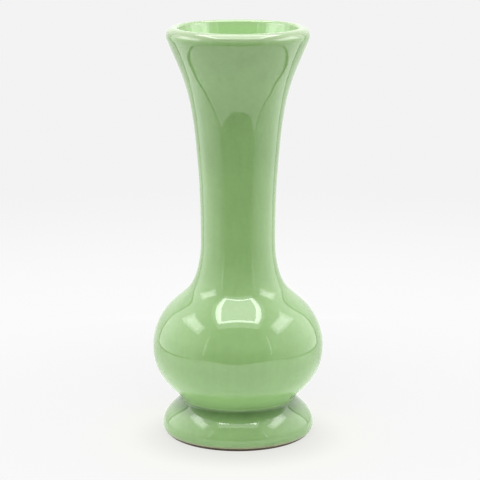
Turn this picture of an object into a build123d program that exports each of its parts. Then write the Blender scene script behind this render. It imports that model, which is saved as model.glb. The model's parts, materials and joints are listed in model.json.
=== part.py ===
"""Glazed pedestal vase with a round bulb, a slim neck and a trumpet mouth.

The clay body is made in five sections, luted together with slip in stepped joints, and carries a
glaze coat outside and another inside. All sizes are in millimetres. The vase stands on the plane
Z = 0, with its axis on Z.
"""
import os
from math import cos, radians, sin

from build123d import *

# Radii of the glazed outside
foot_radius = 44.4
ankle_radius = 33.3
belly_radius = 49.9
shoulder_radius = 32.4
collar_radius = 24.2
waist_radius = 21.7
throat_radius = 24.6
mouth_radius = 33.3
lip_radius = 36.3

# Climb from each of these levels to the next, starting at the standing plane
foot_rise = 6.0
ankle_rise = 15.7
belly_rise = 31.2
shoulder_rise = 31.1
collar_rise = 13.0
waist_rise = 19.0
throat_rise = 59.0
mouth_rise = 40.0
rim_rise = 25.0

# Lean of the wall from upright, in degrees, outward on the way up
shoulder_lean = -51.6
collar_lean = -16.2
throat_lean = 5.6
mouth_lean = 21.5
lip_lean = 21.0
inner_lip_lean = 12.0

# Reach of the curve handles, as shares of the chord between two levels
ease = 0.36
foot_fullness = 0.425
crease_below = 0.06
crease_above = 0.118
bulb_fullness_below = 0.588
bulb_fullness_above = 0.528
shoulder_turn = 0.151

# Roundings of the lip and of the foot
lip_outer_round = 5.0
lip_inner_round = 2.0
foot_edge_run = 5.2
standing_edge_round = 0.8

# Clay, glaze and slip
wall = 4.4
glaze = 0.4
slip = 0.5
glaze_line = 2.2
step_height = 2.5

# Floor of the vase and hollow of the foot
floor_thickness = 5.5
floor_flat = 10.0
floor_fullness = 0.55
cavity_fullness = 0.45
standing_width = 3.2
foot_top_width = 6.0
hollow_fullness = 0.5

# Levels of the outside, each with its radius, height and lean
foot_height = foot_rise
ankle_height = foot_height + ankle_rise
belly_height = ankle_height + belly_rise
shoulder_height = belly_height + shoulder_rise
collar_height = shoulder_height + collar_rise
waist_height = collar_height + waist_rise
throat_height = waist_height + throat_rise
mouth_height = throat_height + mouth_rise
rim_height = mouth_height + rim_rise
swell = (foot_radius, foot_height, 0)
ankle = (ankle_radius, ankle_height, 0)
belly = (belly_radius, belly_height, 0)
shoulder = (shoulder_radius, shoulder_height, shoulder_lean)
collar = (collar_radius, collar_height, collar_lean)
waist = (waist_radius, waist_height, 0)
throat = (throat_radius, throat_height, throat_lean)
mouth_level = (mouth_radius, mouth_height, mouth_lean)

# Stretches between levels, with the handle shares at their lower and upper ends
foot_stretch = (swell, ankle, foot_fullness, crease_below)
bulb_stretch = (ankle, belly, crease_above, bulb_fullness_below)
upper_stretches = [
    (belly, shoulder, bulb_fullness_above, shoulder_turn),
    (shoulder, collar, ease, ease),
    (collar, waist, ease, ease),
    (waist, throat, ease, ease),
    (throat, mouth_level, ease, ease),
]

# Places that follow from the sizes above
full_wall = wall + 2 * glaze
base_radius = foot_radius - foot_edge_run
hollow_radius = base_radius - standing_width
hollow_top_radius = ankle_radius - glaze - foot_top_width
hollow_height = ankle_height + step_height + slip
floor_height = hollow_height + floor_thickness + glaze
outer_reach = 2 * max(foot_radius, belly_radius, lip_radius + lip_outer_round)


def heading(lean):
    """Direction of the wall on its way up."""
    return Vector(sin(radians(lean)), cos(radians(lean)))


def under(level, depth):
    """Point at a depth under the outside at a level, square to the surface."""
    radius, height, lean = level
    return Vector(radius - depth * cos(radians(lean)), height + depth * sin(radians(lean)))


def draw_curve(start, start_lean, end, end_lean, start_share=ease, end_share=ease):
    """Curve between two points of the wall that leaves and arrives along the wall."""
    chord = (end - start).length
    start_handle = start + heading(start_lean) * chord * start_share
    end_handle = end - heading(end_lean) * chord * end_share
    Bezier(start, start_handle, end_handle, end)


def draw_stretch(stretch, depth):
    """One stretch of the outside, at a depth under it."""
    lower, upper, lower_share, upper_share = stretch
    draw_curve(under(lower, depth), lower[2], under(upper, depth), upper[2], lower_share, upper_share)


def lip_outside(depth):
    """Point where the wall runs into the lip outside."""
    reach = lip_outer_round - depth
    lean = radians(lip_lean)
    return Vector(lip_radius + reach * cos(lean), rim_height - lip_outer_round - reach * sin(lean))


def lip_inside(depth):
    """Point where the lip runs into the wall inside."""
    reach = lip_inner_round - depth
    lean = radians(inner_lip_lean)
    return Vector(lip_radius - reach * cos(lean), rim_height - lip_inner_round + reach * sin(lean))


def draw_outside(depth):
    """Outside of the vase from its standing edge to the lip, at a depth under the glaze surface."""
    draw_curve(Vector(base_radius, 0), 90, under(swell, depth), 0)
    for stretch in [foot_stretch, bulb_stretch] + upper_stretches:
        draw_stretch(stretch, depth)
    draw_curve(under(mouth_level, depth), mouth_lean, lip_outside(depth), lip_lean)


def draw_lip(depth):
    """Rounded lip, with the larger rounding outside."""
    crest = Vector(lip_radius, rim_height - depth)
    TangentArc(lip_outside(depth), crest, tangent=heading(lip_lean))
    TangentArc(crest, lip_inside(depth), tangent=heading(-90))


def draw_mouth_inside(depth):
    """Inside of the mouth above the mouth level, at a depth under the inner glaze."""
    draw_curve(under(mouth_level, full_wall - depth), mouth_lean, lip_inside(depth), inner_lip_lean)


def draw_inside(depth):
    """Inside of the vase from the mouth level down to the middle of the floor."""
    for stretch in upper_stretches:
        draw_stretch(stretch, full_wall - depth)
    floor_edge = Vector(floor_flat, floor_height - depth)
    draw_curve(floor_edge, 90, under(belly, full_wall - depth), 0, floor_fullness, cavity_fullness)
    Line(floor_edge, (0, floor_height - depth))


def draw_clay():
    """Section of the whole clay body, with the hollow under the foot."""
    draw_outside(glaze)
    draw_lip(glaze)
    draw_mouth_inside(glaze)
    draw_inside(glaze)
    hollow_edge = Vector(hollow_radius, 0)
    hollow_neck = Vector(hollow_top_radius, ankle_height)
    Polyline((0, floor_height - glaze), (0, hollow_height), (hollow_top_radius, hollow_height), hollow_neck)
    draw_curve(hollow_edge, 0, hollow_neck, 0, hollow_fullness, crease_above)
    Line(hollow_edge, (base_radius, 0))


def step_line(joint, gap=0):
    """Stepped line of a joint from the axis outward; the gap lifts it off the lower section."""
    step_radius, height = joint
    return [
        (0, height + step_height + gap),
        (step_radius + gap, height + step_height + gap),
        (step_radius + gap, height + gap),
        (outer_reach, height + gap),
    ]


def wall_joint(level):
    """Step radius and height of a joint in the middle of the wall at a level."""
    middle = under(level, full_wall / 2)
    return middle.X - slip / 2, middle.Y


ankle_joint = ((ankle_radius - glaze + hollow_top_radius - slip) / 2, ankle_height)
belly_joint = wall_joint(belly)
collar_joint = wall_joint(collar)
throat_joint = wall_joint(throat)
below_foot = [(0, -outer_reach), (outer_reach, -outer_reach)]
above_rim = [(0, rim_height + outer_reach), (outer_reach, rim_height + outer_reach)]

os.makedirs("parts", exist_ok=True)

# Foot: the turned bun that the vase stands on, hollow below
with BuildPart() as foot:
    with BuildSketch(Plane.XZ):
        with BuildLine():
            draw_clay()
        make_face()
        with BuildLine():
            Polyline(*below_foot, *reversed(step_line(ankle_joint)), close=True)
        make_face(mode=Mode.INTERSECT)
    revolve(axis=Axis.Z)
    standing_edges = foot.edges().filter_by(GeomType.CIRCLE).group_by(Axis.Z)[0]
    fillet(standing_edges.sort_by(SortBy.RADIUS)[0], standing_edge_round)
foot.part.label = "foot"
export_step(foot.part, "parts/foot.step")

# Clay sections above the foot, each from one joint to the next
sections = [
    ("lower_bowl", step_line(ankle_joint, slip), step_line(belly_joint)),
    ("upper_bowl", step_line(belly_joint, slip), step_line(collar_joint)),
    ("neck", step_line(collar_joint, slip), step_line(throat_joint)),
    ("mouth", step_line(throat_joint, slip), above_rim),
]
for name, lower_line, upper_line in sections:
    with BuildPart() as section:
        with BuildSketch(Plane.XZ):
            with BuildLine():
                draw_clay()
            make_face()
            with BuildLine():
                Polyline(*lower_line, *reversed(upper_line), close=True)
            make_face(mode=Mode.INTERSECT)
        revolve(axis=Axis.Z)
    section.part.label = name
    export_step(section.part, f"parts/{name}.step")

# Slip rings that fill the stepped joints
slip_joints = {
    "ankle_slip": ankle_joint,
    "belly_slip": belly_joint,
    "collar_slip": collar_joint,
    "throat_slip": throat_joint,
}
for name, joint in slip_joints.items():
    with BuildPart() as ring:
        with BuildSketch(Plane.XZ):
            with BuildLine():
                draw_clay()
            make_face()
            with BuildLine():
                Polyline(*step_line(joint), *reversed(step_line(joint, slip)), close=True)
            make_face(mode=Mode.INTERSECT)
        revolve(axis=Axis.Z)
    ring.part.label = name
    export_step(ring.part, f"parts/{name}.step")

# Outer glaze: from the glaze line on the foot, over the lip and down to the mouth level inside
with BuildPart() as outer_glaze:
    with BuildSketch(Plane.XZ):
        with BuildLine():
            for depth in (0, glaze):
                draw_outside(depth)
                draw_lip(depth)
                draw_mouth_inside(depth)
            Line(under(mouth_level, full_wall), under(mouth_level, full_wall - glaze))
        make_face()
        with BuildLine():
            Polyline((0, glaze_line), (outer_reach, glaze_line), *reversed(above_rim), close=True)
        make_face(mode=Mode.INTERSECT)
    revolve(axis=Axis.Z)
outer_glaze.part.label = "outer_glaze"
export_step(outer_glaze.part, "parts/outer_glaze.step")

# Inner glaze: the poured coat from the mouth level down over the floor
with BuildPart() as inner_glaze:
    with BuildSketch(Plane.XZ):
        with BuildLine():
            for depth in (0, glaze):
                draw_inside(depth)
            Line(under(mouth_level, full_wall), under(mouth_level, full_wall - glaze))
            Line((0, floor_height), (0, floor_height - glaze))
        make_face()
    revolve(axis=Axis.Z)
inner_glaze.part.label = "inner_glaze"
export_step(inner_glaze.part, "parts/inner_glaze.step")
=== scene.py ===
"""Dresses the trumpet-mouth pedestal vase in its glaze and clay, and sets it in a light tent."""

import json
import math

import bmesh
import bpy
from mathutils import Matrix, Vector

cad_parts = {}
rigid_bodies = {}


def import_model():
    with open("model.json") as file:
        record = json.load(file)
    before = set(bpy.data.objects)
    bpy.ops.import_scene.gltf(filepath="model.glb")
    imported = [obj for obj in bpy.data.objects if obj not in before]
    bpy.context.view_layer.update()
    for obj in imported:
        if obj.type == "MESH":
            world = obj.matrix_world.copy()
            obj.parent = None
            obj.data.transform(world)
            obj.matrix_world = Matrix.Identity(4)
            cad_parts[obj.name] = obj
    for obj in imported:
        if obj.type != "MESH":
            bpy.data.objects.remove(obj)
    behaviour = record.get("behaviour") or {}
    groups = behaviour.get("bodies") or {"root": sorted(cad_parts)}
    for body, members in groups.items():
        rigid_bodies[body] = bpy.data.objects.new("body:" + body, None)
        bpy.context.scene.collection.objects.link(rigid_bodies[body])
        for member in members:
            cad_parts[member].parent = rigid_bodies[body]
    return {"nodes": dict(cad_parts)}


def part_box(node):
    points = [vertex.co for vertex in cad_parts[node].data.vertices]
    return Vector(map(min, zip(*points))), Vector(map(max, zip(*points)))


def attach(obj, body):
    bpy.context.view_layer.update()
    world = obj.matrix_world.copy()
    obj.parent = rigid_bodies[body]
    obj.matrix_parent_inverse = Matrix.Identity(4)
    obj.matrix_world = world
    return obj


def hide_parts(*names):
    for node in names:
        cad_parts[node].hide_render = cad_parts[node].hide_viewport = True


bl_info = {
    "name": "Trumpet-mouth pedestal vase",
    "version": (1, 0, 0),
    "blender": (4, 5, 0),
    "location": "View3D > Sidebar > Vase",
    "description": "Spins the glaze and the turned foot of the vase, finishes them and sets the stage",
    "category": "Object",
}

# An empty scene, so that nothing of a start-up file is taken for the vase.
for leftover in list(bpy.data.objects):
    bpy.data.objects.remove(leftover)

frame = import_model()
bpy.context.view_layer.update()

# Places on the vase, from the frame: the crease above the foot as a share of the vase's height.
glaze_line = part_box("outer_glaze")[0].z
vase_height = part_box("outer_glaze")[1].z
crease_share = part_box("ankle_slip")[0].z / vase_height
collar_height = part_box("collar_slip")[0].z
lip_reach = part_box("mouth")[1].x

# How near two points of a solid's mesh are when they are the same point.
same_point = 0.000001

# The colour sockets of a Mix node, which has other sockets of the same names.
mix_base = 6
mix_over = 7
mix_result = 2

# Distance between the rings of a wave pattern at a scale of 1.
wave_gap = 0.314

# Distance between lamps of the tent that lie one over the other, and the way that its ceiling faces.
lamp_gap = 0.002
downward = (0.0, 0.0, -1.0)


class GlazeSettings(bpy.types.PropertyGroup):
    """Colours and finish of the green glaze."""

    body_colour: bpy.props.FloatVectorProperty(
        name="Body colour",
        description="Colour of the glaze at its usual thickness",
        subtype="COLOR",
        size=3,
        min=0.0,
        max=1.0,
        default=(0.183, 0.312, 0.117),
    )
    # Painted shade as well as pooled glaze: this dark colour lies in the crease above the foot.
    pool_and_shade_colour: bpy.props.FloatVectorProperty(
        name="Pool colour",
        description="Colour where the glaze has run together and lies thick",
        subtype="COLOR",
        size=3,
        min=0.0,
        max=1.0,
        default=(0.090, 0.168, 0.059),
    )
    # Painted light as well as thin glaze: this pale colour lies on the bulb's underside and inside the
    # lip.
    thin_and_lit_colour: bpy.props.FloatVectorProperty(
        name="Thin colour",
        description="Colour where the glaze has drawn thin over an edge",
        subtype="COLOR",
        size=3,
        min=0.0,
        max=1.0,
        default=(0.268, 0.455, 0.176),
    )
    edge_colour: bpy.props.FloatVectorProperty(
        name="Edge colour",
        description="Colour of the glaze's lower edge, where the clay shows through",
        subtype="COLOR",
        size=3,
        min=0.0,
        max=1.0,
        default=(0.255, 0.270, 0.150),
    )
    # Partly a painted highlight: the lip is paler and greyer than the glaze.
    lip_and_highlight_colour: bpy.props.FloatVectorProperty(
        name="Lip colour",
        description="Colour that the top of the lip leans to, where the clay greys the thin glaze",
        subtype="COLOR",
        size=3,
        min=0.0,
        max=1.0,
        default=(0.252, 0.284, 0.198),
    )
    roughness: bpy.props.FloatProperty(
        name="Roughness",
        description="How much the fired gloss blurs a reflection",
        subtype="FACTOR",
        min=0.0,
        max=1.0,
        default=0.03,
    )
    crease_roughness: bpy.props.FloatProperty(
        name="Crease roughness",
        description="How much rougher the glaze is in the crease above the foot",
        subtype="FACTOR",
        min=0.0,
        max=1.0,
        default=0.45,
    )
    refraction: bpy.props.FloatProperty(
        name="Refraction",
        description="Index of refraction of the fired glaze, which sets how strong its gloss is",
        min=1.0,
        default=1.58,
    )
    lip_roll: bpy.props.FloatProperty(
        name="Lip roll",
        description="From the outermost line of the lip to its top line",
        subtype="DISTANCE",
        unit="LENGTH",
        min=0.0,
        default=0.0046,
    )
    steps: bpy.props.IntProperty(
        name="Steps",
        description="Steps of the spin round the axis",
        min=24,
        max=160,
        default=96,
    )
    easing: bpy.props.IntProperty(
        name="Easing",
        description="How often the section is smoothed at the shoulder, where the glaze evens the turn",
        min=0,
        max=8,
        default=2,
    )
    point_gap: bpy.props.FloatProperty(
        name="Point gap",
        description="Points of the section nearer than this become one, less than the glaze's thickness",
        subtype="DISTANCE",
        unit="LENGTH",
        min=0.0,
        default=0.00005,
    )


class ClaySettings(bpy.types.PropertyGroup):
    """Colours of the bare clay and of the slip in its joints."""

    clay_colour: bpy.props.FloatVectorProperty(
        name="Clay colour",
        description="Colour of the fired clay where no glaze covers it",
        subtype="COLOR",
        size=3,
        min=0.0,
        max=1.0,
        default=(0.08, 0.06, 0.04),
    )
    grog_colour: bpy.props.FloatVectorProperty(
        name="Grog colour",
        description="Colour of the coarse grains in the clay",
        subtype="COLOR",
        size=3,
        min=0.0,
        max=1.0,
        default=(0.05, 0.035, 0.025),
    )
    slip_colour: bpy.props.FloatVectorProperty(
        name="Slip colour",
        description="Colour of the fired slip that joins the thrown sections",
        subtype="COLOR",
        size=3,
        min=0.0,
        max=1.0,
        default=(0.26, 0.17, 0.12),
    )
    ring_gap: bpy.props.FloatProperty(
        name="Ring gap",
        description="Distance between the turning marks",
        subtype="DISTANCE",
        unit="LENGTH",
        min=0.0001,
        default=0.0016,
    )


class StageSettings(bpy.types.PropertyGroup):
    """Camera, floor and light tent."""

    camera_place: bpy.props.FloatVectorProperty(
        name="Camera place",
        description="Where the camera stands",
        subtype="TRANSLATION",
        unit="LENGTH",
        size=3,
        default=(0.00117, -1.2, 0.378945),
    )
    camera_tilt: bpy.props.FloatProperty(
        name="Camera tilt",
        description="Angle of the camera's view from straight down",
        subtype="ANGLE",
        unit="ROTATION",
        default=math.radians(77.6243),
    )
    camera_lens: bpy.props.FloatProperty(
        name="Camera lens",
        description="Focal length in millimetres on a 36 mm sensor",
        min=1.0,
        default=158.433,
    )
    floor_colour: bpy.props.FloatVectorProperty(
        name="Floor colour",
        description="Colour of the pale floor round the vase",
        subtype="COLOR",
        size=3,
        min=0.0,
        max=1.0,
        default=(0.300, 0.301, 0.295),
    )
    floor_glow: bpy.props.FloatVectorProperty(
        name="Floor glow",
        description="Colour of the floor away from the vase",
        subtype="COLOR",
        size=3,
        min=0.0,
        max=1.0,
        default=(0.963, 0.963, 0.963),
    )
    floor_fade: bpy.props.FloatProperty(
        name="Floor fade",
        description="Share of the floor's glow that is left far behind the vase",
        subtype="FACTOR",
        min=0.0,
        max=1.0,
        default=0.929,
    )
    # Painted bounce light: the vase's green on the floor close to it.
    floor_bounce_tint: bpy.props.FloatVectorProperty(
        name="Floor tint",
        description="Colour of the floor close to the vase, which throws a little of its green there",
        subtype="COLOR",
        size=3,
        min=0.0,
        max=1.0,
        default=(0.967, 0.971, 0.925),
    )
    cloth_colour: bpy.props.FloatVectorProperty(
        name="Cloth colour",
        description="Colour of the tent's own floor, which lights the vase from below",
        subtype="COLOR",
        size=3,
        min=0.0,
        max=1.0,
        default=(0.85, 0.85, 0.85),
    )
    # Painted shade: the cloth is greyer behind the vase.
    rear_cloth_shade_colour: bpy.props.FloatVectorProperty(
        name="Rear cloth colour",
        description="Colour of the tent's own floor behind the vase",
        subtype="COLOR",
        size=3,
        min=0.0,
        max=1.0,
        default=(0.56, 0.56, 0.56),
    )
    tent_half_width: bpy.props.FloatProperty(
        name="Tent half width",
        description="From the vase's axis to a side wall of the tent",
        subtype="DISTANCE",
        unit="LENGTH",
        min=0.1,
        default=0.329,
    )
    tent_front: bpy.props.FloatProperty(
        name="Tent front",
        description="From the vase's axis to the tent's open front",
        subtype="DISTANCE",
        unit="LENGTH",
        min=0.1,
        default=0.41,
    )
    tent_back: bpy.props.FloatProperty(
        name="Tent back",
        description="From the vase's axis to the tent's back wall",
        subtype="DISTANCE",
        unit="LENGTH",
        min=0.1,
        default=0.262,
    )
    tent_height: bpy.props.FloatProperty(
        name="Tent height",
        description="From the floor to the tent's ceiling",
        subtype="DISTANCE",
        unit="LENGTH",
        min=0.3,
        default=0.70,
    )
    apron: bpy.props.FloatProperty(
        name="Apron",
        description="From the vase's axis to the front edge of the tent's floor",
        subtype="DISTANCE",
        unit="LENGTH",
        min=0.1,
        default=0.34,
    )
    seam: bpy.props.FloatProperty(
        name="Seam",
        description="Width of the dark seams between the tent's walls, floor and ceiling",
        subtype="DISTANCE",
        unit="LENGTH",
        min=0.0,
        default=0.0065,
    )
    corner: bpy.props.FloatProperty(
        name="Corner",
        description="Width of the dark corners between the side walls and the back wall",
        subtype="DISTANCE",
        unit="LENGTH",
        min=0.0,
        default=0.012,
    )
    wall_light: bpy.props.FloatProperty(
        name="Wall light",
        description="Brightness of the side walls' cloth low down behind the vase, where 1 is white",
        min=0.0,
        default=2.12,
    )
    wall_front_light: bpy.props.FloatProperty(
        name="Wall front light",
        description="Brightness of the side walls' cloth at the tent's open front",
        min=0.0,
        default=0.2,
    )
    back_light: bpy.props.FloatProperty(
        name="Back light",
        description="Brightness of the back wall's cloth",
        min=0.0,
        default=1.12,
    )
    ceiling_light: bpy.props.FloatProperty(
        name="Ceiling light",
        description="Brightness of the ceiling's cloth",
        min=0.0,
        default=1.8,
    )
    diffuser_light: bpy.props.FloatProperty(
        name="Diffuser light",
        description="Brightness of the diffuser in the lamp ring, on top of the ceiling's, in the gloss",
        min=0.0,
        default=2.15,
    )
    window_light: bpy.props.FloatProperty(
        name="Window light",
        description="Brightness of the lamp window in each side wall, on top of the wall's, in the gloss",
        min=0.0,
        default=4.0,
    )
    ring_half_width: bpy.props.FloatProperty(
        name="Ring half width",
        description="From the vase's axis to the middle of the lamp ring's side strips",
        subtype="DISTANCE",
        unit="LENGTH",
        min=0.05,
        default=0.24,
    )
    ring_half_length: bpy.props.FloatProperty(
        name="Ring half length",
        description="From the vase's axis to the middle of the lamp ring's end strips",
        subtype="DISTANCE",
        unit="LENGTH",
        min=0.05,
        default=0.238,
    )
    strip_width: bpy.props.FloatProperty(
        name="Strip width",
        description="Width of the lamp ring's side strips",
        subtype="DISTANCE",
        unit="LENGTH",
        min=0.001,
        default=0.065,
    )
    end_strip_width: bpy.props.FloatProperty(
        name="End strip width",
        description="Width of the lamp ring's end strips",
        subtype="DISTANCE",
        unit="LENGTH",
        min=0.001,
        default=0.050,
    )
    strip_light: bpy.props.FloatProperty(
        name="Strip light",
        description="Brightness of the lamp ring's strips in the gloss",
        min=0.0,
        default=6.6,
    )
    fill_light: bpy.props.FloatProperty(
        name="Fill light",
        description="Brightness of the soft lamp above the camera, which the glaze doesn't mirror",
        min=0.0,
        default=2.05,
    )
    boom_light: bpy.props.FloatProperty(
        name="Boom light",
        description="Brightness of the soft lamp in front above the vase, which the glaze doesn't mirror",
        min=0.0,
        default=2.8,
    )
    hem_light: bpy.props.FloatProperty(
        name="Hem light",
        description="Brightness of the pale hems at the tent's open front, on top of the wall's",
        min=0.0,
        default=2.1,
    )
    room_light: bpy.props.FloatProperty(
        name="Room light",
        description="Brightness of the room outside the tent, above eye level",
        min=0.0,
        default=0.45,
    )
    room_dark: bpy.props.FloatProperty(
        name="Room dark",
        description="Brightness of the room outside the tent, below eye level",
        min=0.0,
        default=0.04,
    )


def add_node(tree, kind, **settings):
    """Adds a shader node and sets the named values on it."""
    node = tree.nodes.new(kind)
    for name, value in settings.items():
        setattr(node, name, value)
    return node


def set_socket(node, name, value):
    """Sets an unlinked input of a shader node."""
    node.inputs[name].default_value = value


def join(tree, source, outlet, target, inlet):
    """Links an outlet of one shader node to an inlet of another."""
    tree.links.new(source.outputs[outlet], target.inputs[inlet])


def opaque(colour):
    """The colour with a full alpha, as a colour socket takes it."""
    return (colour[0], colour[1], colour[2], 1.0)


def grey(value):
    """A grey of that value."""
    return (value, value, value)


def start_material(name):
    """A new material with a Principled shader, and the point on the piece that its patterns read."""
    material = bpy.data.materials.new(name)
    material.use_nodes = True
    tree = material.node_tree
    tree.nodes.clear()
    output = add_node(tree, "ShaderNodeOutputMaterial")
    shader = add_node(tree, "ShaderNodeBsdfPrincipled")
    point = add_node(tree, "ShaderNodeTexCoord")
    join(tree, shader, "BSDF", output, "Surface")
    return material, tree, shader, point


def add_noise(tree, source, outlet, scale, detail):
    """A noise pattern on the coordinates that an outlet gives."""
    noise = add_node(tree, "ShaderNodeTexNoise")
    set_socket(noise, "Scale", scale)
    set_socket(noise, "Detail", detail)
    join(tree, source, outlet, noise, "Vector")
    return noise


def add_ramp(tree, stops):
    """A ramp of (position, colour) stops."""
    ramp = add_node(tree, "ShaderNodeValToRGB")
    band = ramp.color_ramp
    while len(band.elements) < len(stops):
        band.elements.new(1.0)
    for element, (position, colour) in zip(band.elements, stops):
        element.position = position
        element.color = opaque(colour)
    return ramp


def add_range(tree, source, outlet, low, high):
    """Maps a pattern that runs from 0 to 1 to run from low to high."""
    spread = add_node(tree, "ShaderNodeMapRange")
    set_socket(spread, "To Min", low)
    set_socket(spread, "To Max", high)
    join(tree, source, outlet, spread, "Value")
    return spread


def add_step(tree, source, outlet, start, end):
    """A soft step that is 0 up to the start and 1 from the end on."""
    step = add_node(tree, "ShaderNodeMapRange", interpolation_type="SMOOTHSTEP")
    set_socket(step, "From Min", start)
    set_socket(step, "From Max", end)
    join(tree, source, outlet, step, "Value")
    return step


def add_drift(tree, source, outlet, scale, detail, spread):
    """A noise pattern that runs from minus the spread to the spread."""
    noise = add_noise(tree, source, outlet, scale, detail)
    return add_range(tree, noise, "Fac", -spread, spread)


def add_math(tree, operation, first, second):
    """A sum or product of two patterns, each given as a node and its outlet."""
    result = add_node(tree, "ShaderNodeMath", operation=operation)
    join(tree, *first, result, 0)
    join(tree, *second, result, 1)
    return result


def add_share(tree, pattern, share, base):
    """A share of one pattern added to a base pattern, each given as a node and its outlet."""
    result = add_node(tree, "ShaderNodeMath", operation="MULTIPLY_ADD")
    join(tree, *pattern, result, 0)
    result.inputs[1].default_value = share
    join(tree, *base, result, 2)
    return result


def add_mix(tree, factor, base, colour):
    """A colour laid over a base by a factor, where base and factor are each a node and its outlet."""
    mix = add_node(tree, "ShaderNodeMix", data_type="RGBA")
    join(tree, *factor, mix, "Factor")
    join(tree, *base, mix, mix_base)
    mix.inputs[mix_over].default_value = opaque(colour)
    return mix


def add_vector(tree, operation, point, vector):
    """The point on the piece multiplied by a vector, or with the vector added to it."""
    moved = add_node(tree, "ShaderNodeVectorMath", operation=operation)
    moved.inputs[1].default_value = vector
    join(tree, point, "Object", moved, 0)
    return moved


def add_length(tree, source, outlet):
    """The length of a vector."""
    length = add_node(tree, "ShaderNodeVectorMath", operation="LENGTH")
    join(tree, source, outlet, length, 0)
    return length


def add_bump(tree, source, outlet, strength, depth, under=None):
    """A bump from a pattern, laid over another bump if one is given."""
    bump = add_node(tree, "ShaderNodeBump")
    set_socket(bump, "Strength", strength)
    set_socket(bump, "Distance", depth)
    join(tree, source, outlet, bump, "Height")
    if under is not None:
        join(tree, under, "Normal", bump, "Normal")
    return bump


def glaze_depth_and_shade(tree, point, parts, level, reach, top_line):
    """How deep the glaze lies: 0 is drawn thin, 0.5 is usual and 1 is pooled. The dark crease is also
    painted shade, and the pale underside of the bulb and inside of the lip are also painted light.
    """
    # Stops of height and depth, from the foot up to the lip. Heights are shares of the vase's height.
    # Painted shade: the foot lies a little deeper, darkest on its top under the crease where the bulb
    # overhangs it; the glaze also runs down and pools there.
    foot = [(0.012, 0.4), (0.022, 0.54), (crease_share - 0.026, 0.54), (crease_share - 0.010, 0.9)]
    crease = [(crease_share - 0.001, 1.0), (crease_share + 0.003, 0.3), (crease_share + 0.008, 0.08)]
    # Painted light: the bulb's underside above the crease is pale.
    painted_light_underside = [(crease_share + 0.014, 0.0), (crease_share + 0.030, 0.0), (crease_share + 0.042, 0.09)]
    bulb = [(crease_share + 0.065, 0.3), (crease_share + 0.110, 0.45), (0.275, 0.45), (0.325, 0.5)]
    neck = [(0.62, 0.5), (0.70, 0.57), (0.80, 0.57), (0.87, 0.5)]
    lip = [(0.982, 0.5), (0.998, 0.42)]
    stops = foot + crease + painted_light_underside + bulb + neck + lip
    by_height = add_ramp(tree, [(height, grey(depth)) for height, depth in stops])
    join(tree, level, "Result", by_height, "Fac")
    # The wall just inside the lip is paler: the glaze has run down from the lip and lies thin there, and
    # the paleness is also painted light falling into the mouth.
    turn_inward = 0.002
    thin_from = 0.015
    thin_to = 0.008
    thin_and_lit_inside = -0.5
    inside = add_step(tree, reach, "Value", top_line, top_line - turn_inward)
    near_lip = add_step(tree, parts, "Z", vase_height - thin_from, vase_height - thin_to)
    drawn = add_math(tree, "MULTIPLY", (inside, "Result"), (near_lip, "Result"))
    thinned_and_lit = add_share(tree, (drawn, "Value"), thin_and_lit_inside, (by_height, "Color"))
    # It is uneven in broad clouds, in fine flecks and in faint streaks where it has run down.
    clouds = add_drift(tree, point, "Object", scale=34.0, detail=3.0, spread=0.12)
    flecks = add_drift(tree, point, "Object", scale=420.0, detail=2.0, spread=0.05)
    long_drawn = add_vector(tree, "MULTIPLY", point, (1.0, 1.0, 0.05))
    streaks = add_drift(tree, long_drawn, "Vector", scale=260.0, detail=2.0, spread=0.06)
    uneven = add_math(tree, "ADD", (clouds, "Result"), (flecks, "Result"))
    streaked = add_math(tree, "ADD", (uneven, "Value"), (streaks, "Result"))
    return add_math(tree, "ADD", (thinned_and_lit, "Value"), (streaked, "Value"))


def glaze_colour(tree, settings, depth, parts, reach, top_line):
    """The glaze's colour by its depth, with the clay showing through at its lower edge, and a paler,
    greyer lip that is partly thin glaze over clay and partly a painted highlight.
    """
    stops = [(0.0, settings.thin_and_lit_colour), (0.5, settings.body_colour), (1.0, settings.pool_and_shade_colour)]
    by_depth = add_ramp(tree, stops)
    join(tree, depth, "Value", by_depth, "Fac")
    edge_from = 0.0018
    edge_to = 0.0006
    low_edge = add_step(tree, parts, "Z", glaze_line + edge_from, glaze_line + edge_to)
    edged = add_mix(tree, (low_edge, "Result"), (by_depth, "Color"), settings.edge_colour)
    # Painted highlight, as well as clay greying the thin glaze: the top of the lip leans to a paler,
    # greyer colour.
    lip_from = 0.0055
    lip_to = 0.002
    lip_share = 0.5
    lip_edge = add_step(tree, parts, "Z", vase_height - lip_from, vase_height - lip_to)
    set_socket(lip_edge, "To Max", lip_share)
    outside_from = 0.003
    outside_to = 0.001
    outward = add_step(tree, reach, "Value", top_line - outside_from, top_line - outside_to)
    on_lip = add_math(tree, "MULTIPLY", (lip_edge, "Result"), (outward, "Result"))
    return add_mix(tree, (on_lip, "Value"), (edged, mix_result), settings.lip_and_highlight_colour)


def glaze_roughness(tree, settings, point, level):
    """The roughness of the gloss: a little smeared, and dull where the glaze has pooled in the crease."""
    least_share = 0.6
    most_share = 1.4
    least = settings.roughness * least_share
    most = settings.roughness * most_share
    smear = add_noise(tree, point, "Object", scale=90.0, detail=4.0)
    gloss = add_range(tree, smear, "Fac", least, most)
    stops = [
        (crease_share - 0.006, grey(0.0)),
        (crease_share - 0.001, grey(1.0)),
        (crease_share + 0.004, grey(1.0)),
        (crease_share + 0.009, grey(0.0)),
    ]
    pooled = add_ramp(tree, stops)
    join(tree, level, "Result", pooled, "Fac")
    return add_share(tree, (pooled, "Color"), settings.crease_roughness, (gloss, "Result"))


def glaze_ripple(tree, point):
    """Broad soft ripples in the glaze, with a fine peel over them."""
    waves = add_noise(tree, point, "Object", scale=38.0, detail=1.0)
    broad = add_bump(tree, waves, "Fac", strength=0.10, depth=0.004)
    peel = add_noise(tree, point, "Object", scale=700.0, detail=1.0)
    return add_bump(tree, peel, "Fac", strength=0.02, depth=0.0004, under=broad)


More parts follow.
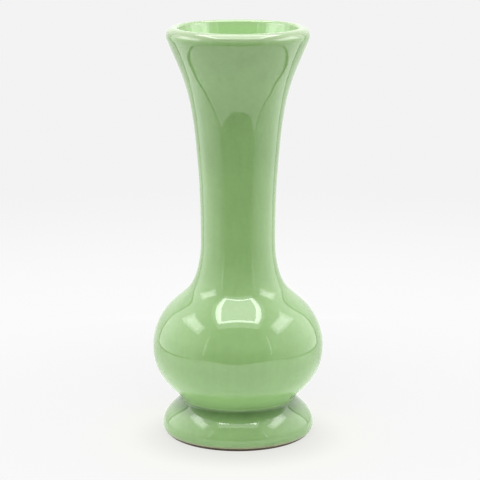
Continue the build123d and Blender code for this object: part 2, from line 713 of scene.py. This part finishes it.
def glaze_material(settings):
    """Glossy green glaze: deep where it pooled, pale where it drew thin, and a little uneven, with painted
    shade in the crease, painted light under the bulb and inside the lip, and a painted highlight on the
    lip.
    """
    found = bpy.data.materials.get("green_glaze")
    if found is not None:
        return found
    material, tree, shader, point = start_material("green_glaze")
    parts = add_node(tree, "ShaderNodeSeparateXYZ")
    join(tree, point, "Object", parts, "Vector")
    level = add_range(tree, parts, "Z", 0.0, 1.0)
    set_socket(level, "From Max", vase_height)
    across = add_vector(tree, "MULTIPLY", point, (1.0, 1.0, 0.0))
    reach = add_length(tree, across, "Vector")
    top_line = lip_reach - settings.lip_roll
    depth = glaze_depth_and_shade(tree, point, parts, level, reach, top_line)
    colour = glaze_colour(tree, settings, depth, parts, reach, top_line)
    join(tree, colour, mix_result, shader, "Base Color")
    roughness = glaze_roughness(tree, settings, point, level)
    join(tree, roughness, "Value", shader, "Roughness")
    ripple = glaze_ripple(tree, point)
    join(tree, ripple, "Normal", shader, "Normal")
    set_socket(shader, "IOR", settings.refraction)
    return material


def earth_material(name, colour, settings):
    """Matt fired clay or slip with coarse grains and the marks of turning."""
    found = bpy.data.materials.get(name)
    if found is not None:
        return found
    material, tree, shader, point = start_material(name)
    darker = (0.86, 0.84, 0.82)
    paler = (1.08, 1.07, 1.05)
    dark_cloud = [part * share for part, share in zip(colour, darker)]
    pale_cloud = [part * share for part, share in zip(colour, paler)]
    cloud = add_noise(tree, point, "Object", scale=60.0, detail=4.0)
    shade = add_ramp(tree, [(0.3, dark_cloud), (0.7, pale_cloud)])
    join(tree, cloud, "Fac", shade, "Fac")
    grains = add_noise(tree, point, "Object", scale=1500.0, detail=2.0)
    specks = add_ramp(tree, [(0.34, grey(1.0)), (0.42, grey(0.0))])
    join(tree, grains, "Fac", specks, "Fac")
    blend = add_mix(tree, (specks, "Color"), (shade, "Color"), settings.grog_colour)
    join(tree, blend, mix_result, shader, "Base Color")
    rings = add_node(tree, "ShaderNodeTexWave", wave_type="RINGS", rings_direction="Z")
    set_socket(rings, "Scale", wave_gap / settings.ring_gap)
    set_socket(rings, "Distortion", 0.8)
    set_socket(rings, "Detail", 1.0)
    join(tree, point, "Object", rings, "Vector")
    marks = add_bump(tree, rings, "Fac", strength=0.35, depth=0.0003)
    grit = add_bump(tree, grains, "Fac", strength=0.5, depth=0.0002, under=marks)
    join(tree, grit, "Normal", shader, "Normal")
    rough = add_range(tree, grains, "Fac", low=0.75, high=0.95)
    join(tree, rough, "Result", shader, "Roughness")
    return material


def section_of(node_name, point_gap):
    """Half of a node's section through the axis, cut from a merged copy of its mesh."""
    section = bmesh.new()
    section.from_mesh(frame["nodes"][node_name].data)
    bmesh.ops.remove_doubles(section, verts=section.verts, dist=same_point)
    everything = section.verts[:] + section.edges[:] + section.faces[:]
    bmesh.ops.bisect_plane(
        section,
        geom=everything,
        dist=same_point,
        plane_co=(0.0, 0.0, 0.0),
        plane_no=(0.0, 1.0, 0.0),
        clear_inner=True,
        clear_outer=True,
    )
    other_half = [vert for vert in section.verts if vert.co.x < -same_point]
    bmesh.ops.delete(section, geom=other_half, context="VERTS")
    # An open section ends on the axis.
    for vert in section.verts:
        if len(vert.link_edges) == 1:
            vert.co.x = 0.0
    bmesh.ops.remove_doubles(section, verts=section.verts, dist=point_gap)
    return section


def spin_piece(name, node_name, settings, rolled_below, eased=(0.0, 0.0)):
    """Spins a node's section into a smooth closed piece that stands for the node.

    Outward corners stay sharp, apart from those below the given height, which are rolled over. The
    section is eased between two heights.
    """
    corner_angle = math.radians(40.0)
    piece = section_of(node_name, settings.point_gap)
    band = [vert for vert in piece.verts if eased[0] < vert.co.z < eased[1]]
    for _ in range(settings.easing):
        bmesh.ops.smooth_vert(
            piece,
            verts=band,
            factor=0.5,
            use_axis_x=True,
            use_axis_y=True,
            use_axis_z=True,
        )
    bmesh.ops.spin(
        piece,
        geom=piece.verts[:] + piece.edges[:],
        cent=(0.0, 0.0, 0.0),
        axis=(0.0, 0.0, 1.0),
        angle=math.tau,
        steps=settings.steps,
        use_merge=True,
    )
    bmesh.ops.remove_doubles(piece, verts=piece.verts, dist=same_point)
    bmesh.ops.recalc_face_normals(piece, faces=piece.faces)
    creases = piece.edges.layers.float.new("crease_edge")
    for edge in piece.edges:
        middle = (edge.verts[0].co + edge.verts[1].co) / 2
        corner = edge.is_convex and edge.calc_face_angle(0.0) > corner_angle
        if corner and middle.z > rolled_below:
            edge[creases] = 1.0
            edge.smooth = False
    for face in piece.faces:
        face.smooth = True
    mesh = bpy.data.meshes.new(name)
    piece.to_mesh(mesh)
    piece.free()
    thing = bpy.data.objects.new(name, mesh)
    bpy.context.scene.collection.objects.link(thing)
    finer = thing.modifiers.new("Finer", "SUBSURF")
    finer.levels = 1
    finer.render_levels = 1
    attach(thing, "root")
    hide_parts(node_name)
    return thing


class VASE_OT_outer_glaze(bpy.types.Operator):
    """Spins the glaze that covers the outside and rolls over the lip"""

    bl_idname = "vase.outer_glaze"
    bl_label = "Outer glaze"

    def execute(self, context):
        settings = context.scene.vase_glaze
        # The eased stretch of the shoulder, as depths under the joint of the collar.
        eased_from = 0.0185
        eased_to = 0.0085
        shoulder = (collar_height - eased_from, collar_height - eased_to)
        lower_edge = glaze_line + same_point
        coat = spin_piece("outer_glaze_coat", "outer_glaze", settings, lower_edge, shoulder)
        coat.data.materials.append(glaze_material(settings))
        return {"FINISHED"}


class VASE_OT_inner_glaze(bpy.types.Operator):
    """Spins the glaze that lines the neck and the bulb"""

    bl_idname = "vase.inner_glaze"
    bl_label = "Inner glaze"

    def execute(self, context):
        settings = context.scene.vase_glaze
        lining = spin_piece("inner_glaze_lining", "inner_glaze", settings, 0.0)
        lining.data.materials.append(glaze_material(settings))
        return {"FINISHED"}


class VASE_OT_clay_sections(bpy.types.Operator):
    """Finishes the thrown sections in fired clay, and spins the foot with its turned hollow"""

    bl_idname = "vase.clay_sections"
    bl_label = "Clay sections"

    def execute(self, context):
        settings = context.scene.vase_clay
        clay = earth_material("fired_clay", settings.clay_colour, settings)
        foot = spin_piece("turned_foot", "foot", context.scene.vase_glaze, 0.0)
        foot.data.materials.append(clay)
        for name in ("lower_bowl", "upper_bowl", "neck", "mouth"):
            frame["nodes"][name].material_slots[0].material = clay
        return {"FINISHED"}


class VASE_OT_slip_joints(bpy.types.Operator):
    """Finishes the slip that joins the thrown sections"""

    bl_idname = "vase.slip_joints"
    bl_label = "Slip joints"

    def execute(self, context):
        settings = context.scene.vase_clay
        slip = earth_material("joining_slip", settings.slip_colour, settings)
        for name in ("ankle_slip", "belly_slip", "collar_slip", "throat_slip"):
            frame["nodes"][name].material_slots[0].material = slip
        return {"FINISHED"}


def add_panel(name, place, facing, size, brightness, lights=True, shows=True):
    """A flat lamp that faces one way, as bright as white cloth at a brightness of 1.

    A lamp that doesn't light the vase only shows in its gloss, and one that doesn't show only lights.
    """
    width, height = size
    lamp = bpy.data.lights.new(name, "AREA")
    lamp.shape = "RECTANGLE"
    lamp.size = width
    lamp.size_y = height
    lamp.energy = brightness * math.pi * width * height
    panel = bpy.data.objects.new(name, lamp)
    panel.location = place
    panel.rotation_mode = "QUATERNION"
    panel.rotation_quaternion = Vector(facing).to_track_quat("-Z", "Y")
    panel.visible_camera = False
    panel.visible_diffuse = lights
    panel.visible_glossy = shows
    bpy.context.scene.collection.objects.link(panel)
    return panel


def grade_wall(wall, side, front_share, top_share):
    """Lets a side wall's brightness fall to a share of it at the tent's open front, and at its top."""
    wall.data.use_nodes = True
    tree = wall.data.node_tree
    place = add_node(tree, "ShaderNodeNewGeometry")
    parts = add_node(tree, "ShaderNodeSeparateXYZ")
    join(tree, place, "Parametric", parts, "Vector")
    # Places along the wall run from 0 to 1, from the front on the right and from the back on the left.
    front_end = 0.5 - side * 0.5
    full_from = 0.80
    fade_from = 0.5
    rise = add_range(tree, parts, "X", front_share, 1.0)
    set_socket(rise, "From Min", front_end)
    set_socket(rise, "From Max", front_end + side * full_from)
    fade = add_range(tree, parts, "Y", 1.0, top_share)
    set_socket(fade, "From Min", fade_from)
    strength = add_math(tree, "MULTIPLY", (rise, "Result"), (fade, "Result"))
    join(tree, strength, "Value", tree.nodes["Emission"], "Strength")


def add_sheet(name, low, high, height, paint):
    """A flat rectangular sheet on the floor."""
    flat = bmesh.new()
    bmesh.ops.create_grid(flat, x_segments=1, y_segments=1, size=0.5)
    bmesh.ops.scale(flat, vec=(high[0] - low[0], high[1] - low[1], 1.0), verts=flat.verts)
    middle = ((low[0] + high[0]) / 2, (low[1] + high[1]) / 2, height)
    bmesh.ops.translate(flat, vec=middle, verts=flat.verts)
    mesh = bpy.data.meshes.new(name)
    flat.to_mesh(mesh)
    flat.free()
    mesh.materials.append(paint)
    sheet = bpy.data.objects.new(name, mesh)
    bpy.context.scene.collection.objects.link(sheet)
    return sheet


def floor_material(settings):
    """Pale matt floor that glows, so that it stays even away from the vase, with a painted shadow and
    painted green bounce light close to it.
    """
    material, tree, shader, point = start_material("pale_floor")
    set_socket(shader, "Roughness", 1.0)
    set_socket(shader, "Specular IOR Level", 0.0)
    # Distance from the vase's axis, and from a place a little in front of it, where the painted shadow and
    # bounce light are centred.
    front_shift = 0.010
    reach = add_length(tree, point, "Object")
    shifted = add_vector(tree, "ADD", point, (0.0, front_shift, 0.0))
    near = add_length(tree, shifted, "Vector")
    # Round the vase the floor takes the light, and glows a little less.
    lit_to = 0.09
    unlit_from = 0.30
    lit_glow = 0.897
    unlit = add_step(tree, reach, "Value", lit_to, unlit_from)
    matt = add_ramp(tree, [(0.0, settings.floor_colour), (1.0, grey(0.0))])
    join(tree, unlit, "Result", matt, "Fac")
    join(tree, matt, "Color", shader, "Base Color")
    rise = add_range(tree, unlit, "Result", lit_glow, 1.0)
    # Painted bounce light: the glow is tinted green close to the vase.
    tinted_to = 0.05
    plain_from = 0.105
    plain = add_step(tree, near, "Value", tinted_to, plain_from)
    tint = add_ramp(tree, [(0.0, settings.floor_bounce_tint), (1.0, settings.floor_glow)])
    join(tree, plain, "Result", tint, "Fac")
    join(tree, tint, "Color", shader, "Emission Color")
    # Painted shadow: the glow is weaker round the foot, most in front of it, and falls off in the
    # distance.
    shadow_to = 0.028
    clear_from = 0.070
    shadow_glow = 0.82
    fade_from = 0.30
    fade_to = 0.80
    clear = add_step(tree, near, "Value", shadow_to, clear_from)
    shadow = add_range(tree, clear, "Result", shadow_glow, 1.0)
    distant = add_step(tree, reach, "Value", fade_from, fade_to)
    fade = add_range(tree, distant, "Result", 1.0, settings.floor_fade)
    shaded = add_math(tree, "MULTIPLY", (rise, "Result"), (shadow, "Result"))
    glow = add_math(tree, "MULTIPLY", (shaded, "Value"), (fade, "Result"))
    join(tree, glow, "Value", shader, "Emission Strength")
    material.cycles.emission_sampling = "NONE"
    return material


def cloth_material(settings):
    """Matt white cloth of the tent's floor, greyer behind the vase as painted shade."""
    material, tree, shader, point = start_material("tent_cloth")
    pale_to = 0.0
    grey_from = 0.12
    parts = add_node(tree, "ShaderNodeSeparateXYZ")
    join(tree, point, "Object", parts, "Vector")
    # Painted shade behind the vase.
    behind = add_step(tree, parts, "Y", pale_to, grey_from)
    shade = add_ramp(tree, [(0.0, settings.cloth_colour), (1.0, settings.rear_cloth_shade_colour)])
    join(tree, behind, "Result", shade, "Fac")
    join(tree, shade, "Color", shader, "Base Color")
    set_socket(shader, "Roughness", 1.0)
    set_socket(shader, "Specular IOR Level", 0.0)
    return material


def lay_floors(settings):
    """The pale floor that the camera sees, and the tent's own floor that lights the vase from below."""
    floor_reach = 6.0
    cloth_height = 0.00005
    floor_low = (-floor_reach, -floor_reach)
    floor_high = (floor_reach, floor_reach)
    floor = add_sheet("floor", floor_low, floor_high, 0.0, floor_material(settings))
    floor.visible_glossy = False
    floor.visible_diffuse = False
    side = settings.tent_half_width - settings.seam
    cloth_low = (-side, -settings.apron)
    cloth_high = (side, settings.tent_back)
    cloth = add_sheet("tent_floor", cloth_low, cloth_high, cloth_height, cloth_material(settings))
    cloth.visible_camera = False
    cloth.visible_shadow = False


def wall_span(settings):
    """Middle and length of a side wall along the tent, from its open front to the dark corner."""
    front = -settings.tent_front
    corner = settings.tent_back - settings.corner
    return (front + corner) / 2, corner - front


def hang_side(settings, side):
    """A lit side wall with its lamp window and its hem, and one side and one end of the lamp ring."""
    half = settings.tent_half_width
    top = settings.tent_height
    inward = (-side, 0.0, 0.0)
    wall_top_share = 0.5
    wall_middle, wall_length = wall_span(settings)
    wall_place = (side * half, wall_middle, top / 2)
    wall_size = (wall_length, top - 2 * settings.seam)
    wall = add_panel("side_wall", wall_place, inward, wall_size, settings.wall_light)
    grade_wall(wall, side, settings.wall_front_light / settings.wall_light, wall_top_share)
    # The window is brighter in its middle, where a second lamp lies over it.
    window_along = -0.036
    window_height = 0.37
    window_size = (0.29, 0.165)
    spot_size = (0.20, 0.11)
    spot_share = 0.45
    window_place = (side * (half - lamp_gap), window_along, window_height)
    window_light = settings.window_light * (1 - spot_share)
    add_panel("side_window", window_place, inward, window_size, window_light, lights=False)
    spot_place = (side * (half - 2 * lamp_gap), window_along, window_height)
    spot_light = settings.window_light * spot_share
    add_panel("window_spot", spot_place, inward, spot_size, spot_light, lights=False)
    # The ring's long sides run past its ends.
    ring_height = top - 2 * lamp_gap
    side_place = (side * settings.ring_half_width, 0.0, ring_height)
    side_size = (settings.strip_width, 2 * settings.ring_half_length + settings.end_strip_width)
    add_panel("side_strip", side_place, downward, side_size, settings.strip_light, lights=False)
    end_place = (0.0, side * settings.ring_half_length, ring_height)
    end_size = (2 * settings.ring_half_width - settings.strip_width, settings.end_strip_width)
    add_panel("end_strip", end_place, downward, end_size, settings.strip_light, lights=False)
    hem_set_back = 0.065
    hem_height = 0.23
    hem_size = (0.018, 0.34)
    hem_place = (side * (half - lamp_gap), hem_set_back - settings.tent_front, hem_height)
    add_panel("front_hem", hem_place, inward, hem_size, settings.hem_light)


def hang_lamps(settings):
    """The tent's lit walls and ceiling with their lamps, and two soft lamps in front that only light."""
    half = settings.tent_half_width
    top = settings.tent_height
    for side in (-1.0, 1.0):
        hang_side(settings, side)
    back_place = (0.0, settings.tent_back, top / 2)
    back_size = (2 * (half - settings.corner), top)
    add_panel("back_wall", back_place, (0.0, -1.0, 0.0), back_size, settings.back_light)
    ceiling_middle, ceiling_length = wall_span(settings)
    ceiling_place = (0.0, ceiling_middle, top)
    ceiling_size = (2 * (half - settings.seam), ceiling_length)
    add_panel("ceiling", ceiling_place, downward, ceiling_size, settings.ceiling_light)
    diffuser_place = (0.0, 0.0, top - lamp_gap)
    diffuser_size = (2 * settings.ring_half_width, 2 * settings.ring_half_length)
    add_panel("diffuser", diffuser_place, downward, diffuser_size, settings.diffuser_light, lights=False)
    fill_place = Vector((0.0, -1.15, 0.85))
    fill_aim = Vector((0.0, 0.0, 0.12))
    fill_size = (1.1, 0.7)
    add_panel("front_fill", fill_place, fill_aim - fill_place, fill_size, settings.fill_light, shows=False)
    boom_place = Vector((0.0, -0.32, 0.66))
    boom_aim = Vector((0.0, 0.0, 0.20))
    boom_size = (0.6, 0.3)
    add_panel("boom_fill", boom_place, boom_aim - boom_place, boom_size, settings.boom_light, shows=False)


def set_room(settings):
    """The room outside the tent: pale where the camera looks, otherwise dark below eye level."""
    room = bpy.data.worlds.new("room")
    room.use_nodes = True
    tree = room.node_tree
    tree.nodes.clear()
    output = add_node(tree, "ShaderNodeOutputWorld")
    sky = add_node(tree, "ShaderNodeBackground")
    point = add_node(tree, "ShaderNodeTexCoord")
    parts = add_node(tree, "ShaderNodeSeparateXYZ")
    path = add_node(tree, "ShaderNodeLightPath")
    choice = add_node(tree, "ShaderNodeMix", data_type="FLOAT")
    join(tree, point, "Generated", parts, "Vector")
    eye_level = 0.0
    full_from = 0.3
    rise = add_step(tree, parts, "Z", eye_level, full_from)
    set_socket(rise, "To Min", settings.room_dark)
    set_socket(rise, "To Max", settings.room_light)
    join(tree, path, "Is Camera Ray", choice, "Factor")
    join(tree, rise, "Result", choice, "A")
    set_socket(choice, "B", settings.floor_glow[0] * settings.floor_fade)
    join(tree, choice, "Result", sky, "Strength")
    set_socket(sky, "Color", opaque(grey(1.0)))
    join(tree, sky, "Background", output, "Surface")
    bpy.context.scene.world = room


def set_camera(settings):
    """The camera at the angle of the photograph."""
    lens = bpy.data.cameras.new("camera")
    lens.sensor_width = 36.0
    lens.lens = settings.camera_lens
    camera = bpy.data.objects.new("camera", lens)
    camera.location = settings.camera_place
    camera.rotation_euler = (settings.camera_tilt, 0.0, 0.0)
    bpy.context.scene.collection.objects.link(camera)
    bpy.context.scene.camera = camera


class VASE_OT_stage(bpy.types.Operator):
    """Sets the pale floor, the light tent, the room and the camera"""

    bl_idname = "vase.stage"
    bl_label = "Stage"

    def execute(self, context):
        settings = context.scene.vase_stage
        context.scene.view_settings.view_transform = "Standard"
        lay_floors(settings)
        hang_lamps(settings)
        set_room(settings)
        set_camera(settings)
        return {"FINISHED"}


class VASE_PT_panel(bpy.types.Panel):
    """The vase's sizes, colours and pieces"""

    bl_label = "Trumpet-mouth vase"
    bl_idname = "VASE_PT_panel"
    bl_space_type = "VIEW_3D"
    bl_region_type = "UI"
    bl_category = "Vase"

    def draw(self, context):
        layout = self.layout
        layout.operator("vase.outer_glaze")
        layout.operator("vase.inner_glaze")
        layout.operator("vase.clay_sections")
        layout.operator("vase.slip_joints")
        layout.operator("vase.stage")
        for settings in (context.scene.vase_glaze, context.scene.vase_clay, context.scene.vase_stage):
            box = layout.box()
            for name in settings.__annotations__:
                box.prop(settings, name)


classes = (
    GlazeSettings,
    ClaySettings,
    StageSettings,
    VASE_OT_outer_glaze,
    VASE_OT_inner_glaze,
    VASE_OT_clay_sections,
    VASE_OT_slip_joints,
    VASE_OT_stage,
    VASE_PT_panel,
)


def register():
    """Registers the classes and hangs the settings on the scene."""
    for each in classes:
        bpy.utils.register_class(each)
    bpy.types.Scene.vase_glaze = bpy.props.PointerProperty(type=GlazeSettings)
    bpy.types.Scene.vase_clay = bpy.props.PointerProperty(type=ClaySettings)
    bpy.types.Scene.vase_stage = bpy.props.PointerProperty(type=StageSettings)


def unregister():
    """Takes the settings off the scene and unregisters the classes."""
    del bpy.types.Scene.vase_stage
    del bpy.types.Scene.vase_clay
    del bpy.types.Scene.vase_glaze
    for each in reversed(classes):
        bpy.utils.unregister_class(each)


def main():
    """Makes the pieces and the stage."""
    register()
    bpy.ops.vase.outer_glaze()
    bpy.ops.vase.inner_glaze()
    bpy.ops.vase.clay_sections()
    bpy.ops.vase.slip_joints()
    bpy.ops.vase.stage()
    bpy.context.view_layer.update()


if __name__ == "__main__":
    main()
